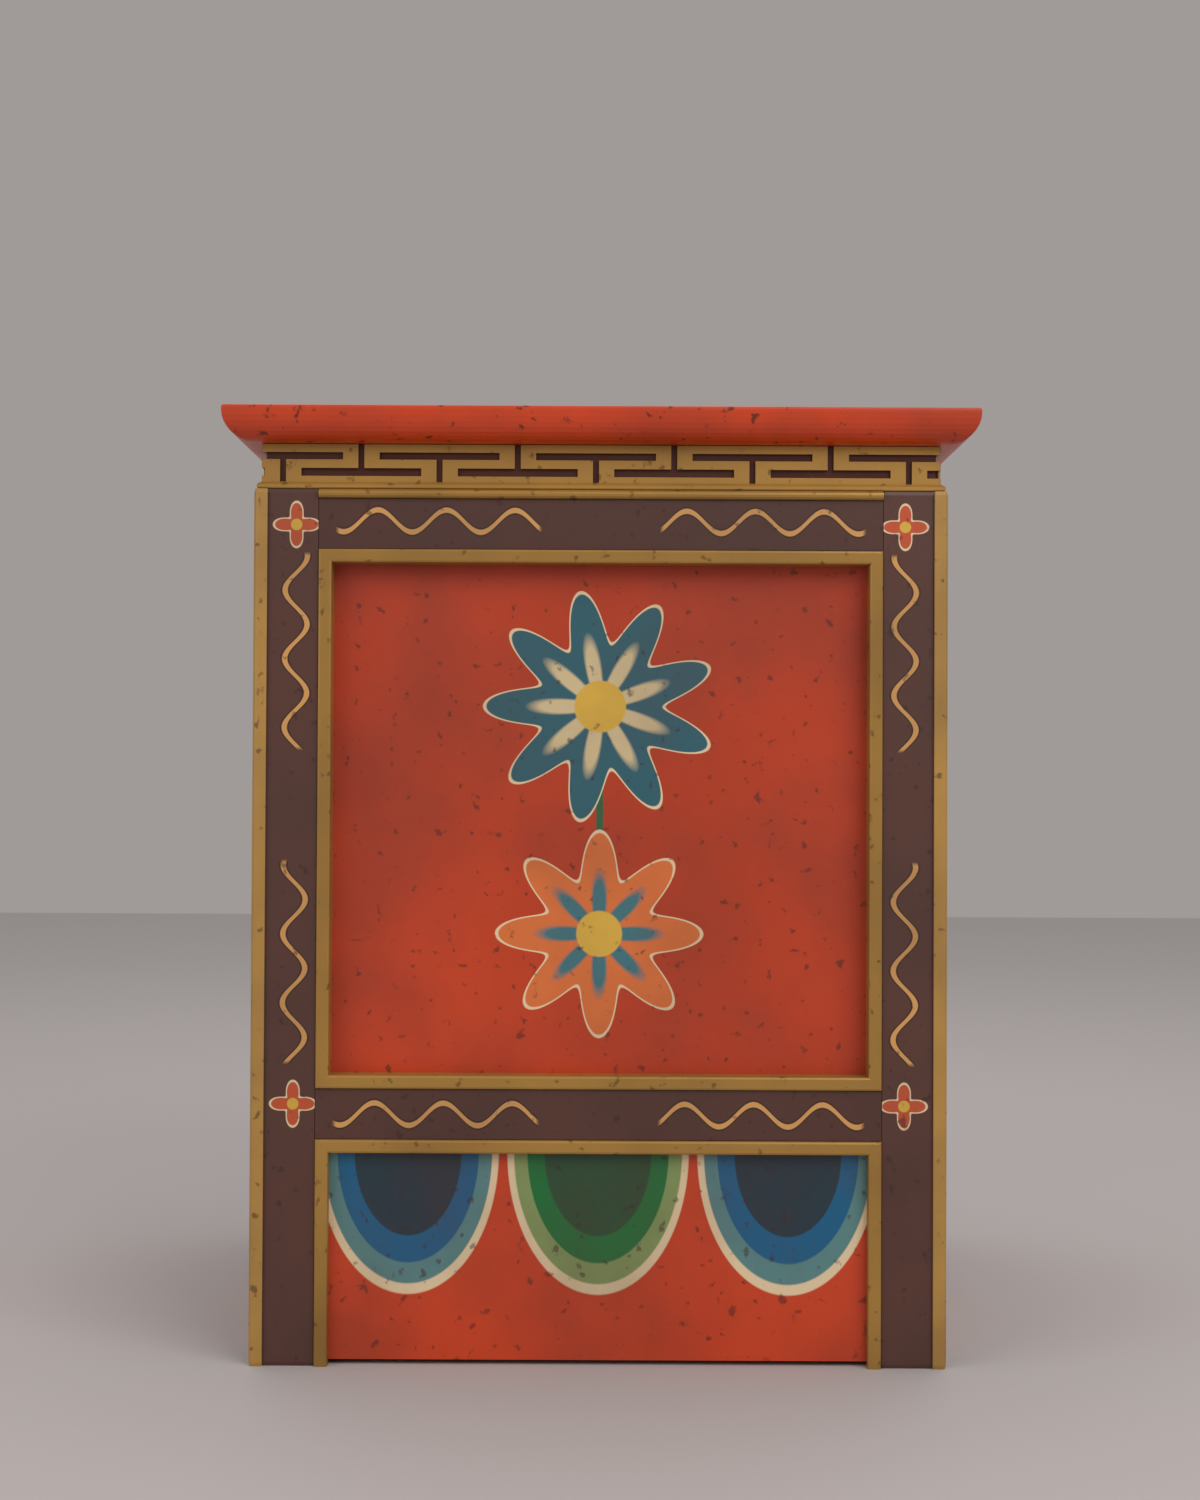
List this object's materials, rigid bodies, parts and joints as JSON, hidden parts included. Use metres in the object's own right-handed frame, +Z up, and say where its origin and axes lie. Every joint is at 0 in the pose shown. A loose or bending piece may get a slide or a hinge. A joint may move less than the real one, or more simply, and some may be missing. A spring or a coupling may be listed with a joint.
{
  "type": "painted cabinet",
  "caption": "Square painted wooden cabinet with corner posts, sunk panels, a carved key-pattern frieze, an overhanging top and a hinged door with a drop pull.",
  "frame": {"origin": "on the floor under the middle of the cabinet", "axes": "+Z up, the door faces -Y, +X to the right when facing the door"},
  "size_m": [0.394, 0.394, 0.5],
  "materials": {
    "orange_paint": "painted, worn gloss",
    "panel_paint": "painted, satin",
    "plum_paint": "painted, satin",
    "gold_paint": "metallic paint, worn",
    "bare_pine": "bare",
    "old_brass": "antique",
    "plain_steel": "plain"
  },
  "bodies": {
    "cabinet": {"top_board": "orange_paint", "post_front_left": "plum_paint", "post_front_right": "plum_paint", "post_back_right": "plum_paint", "post_back_left": "plum_paint", "frieze_front": "gold_paint", "frieze_right": "gold_paint", "frieze_back": "gold_paint", "frieze_left": "gold_paint", "bead_front": "gold_paint", "bead_right": "gold_paint", "bead_back": "gold_paint", "bead_left": "gold_paint", "top_rail_front": "plum_paint", "top_rail_right": "plum_paint", "top_rail_back": "plum_paint", "top_rail_left": "plum_paint", "mid_rail_front": "plum_paint", "mid_rail_right": "plum_paint", "mid_rail_back": "plum_paint", "mid_rail_left": "plum_paint", "lower_board_front": "panel_paint", "lower_board_right": "panel_paint", "lower_board_back": "panel_paint", "lower_board_left": "panel_paint", "lower_moulding_front": "gold_paint", "lower_moulding_right": "gold_paint", "lower_moulding_back": "gold_paint", "lower_moulding_left": "gold_paint", "panel_right": "panel_paint", "panel_back": "panel_paint", "panel_left": "panel_paint", "moulding_right": "gold_paint", "moulding_back": "gold_paint", "moulding_left": "gold_paint", "floor_board": "bare_pine", "door_catch": "plain_steel"},
    "door": {"door_hinge_stile": "plum_paint", "door_meeting_stile": "plum_paint", "door_top_rail": "plum_paint", "door_bottom_rail": "plum_paint", "door_panel": "panel_paint", "door_moulding": "gold_paint", "door_pivot_top": "plain_steel", "door_pivot_bottom": "plain_steel", "door_strike": "plain_steel", "pull_plate": "old_brass", "pull_staple": "old_brass"},
    "pendant": {"pull_pendant": "old_brass"}
  },
  "joints": [
    {"name": "door_hinge", "type": "hinge", "parent": "cabinet", "child": "door", "pos_m": [-0.1394, -0.1723, 0.2856], "axis": [0, 0, -1], "range_deg": [0, 90]},
    {"name": "pull_swing", "type": "hinge", "parent": "door", "child": "pendant", "pos_m": [0.1354, -0.1861, 0.2945], "axis": [-1, 0, 0], "range_deg": [0, 85]}
  ]
}
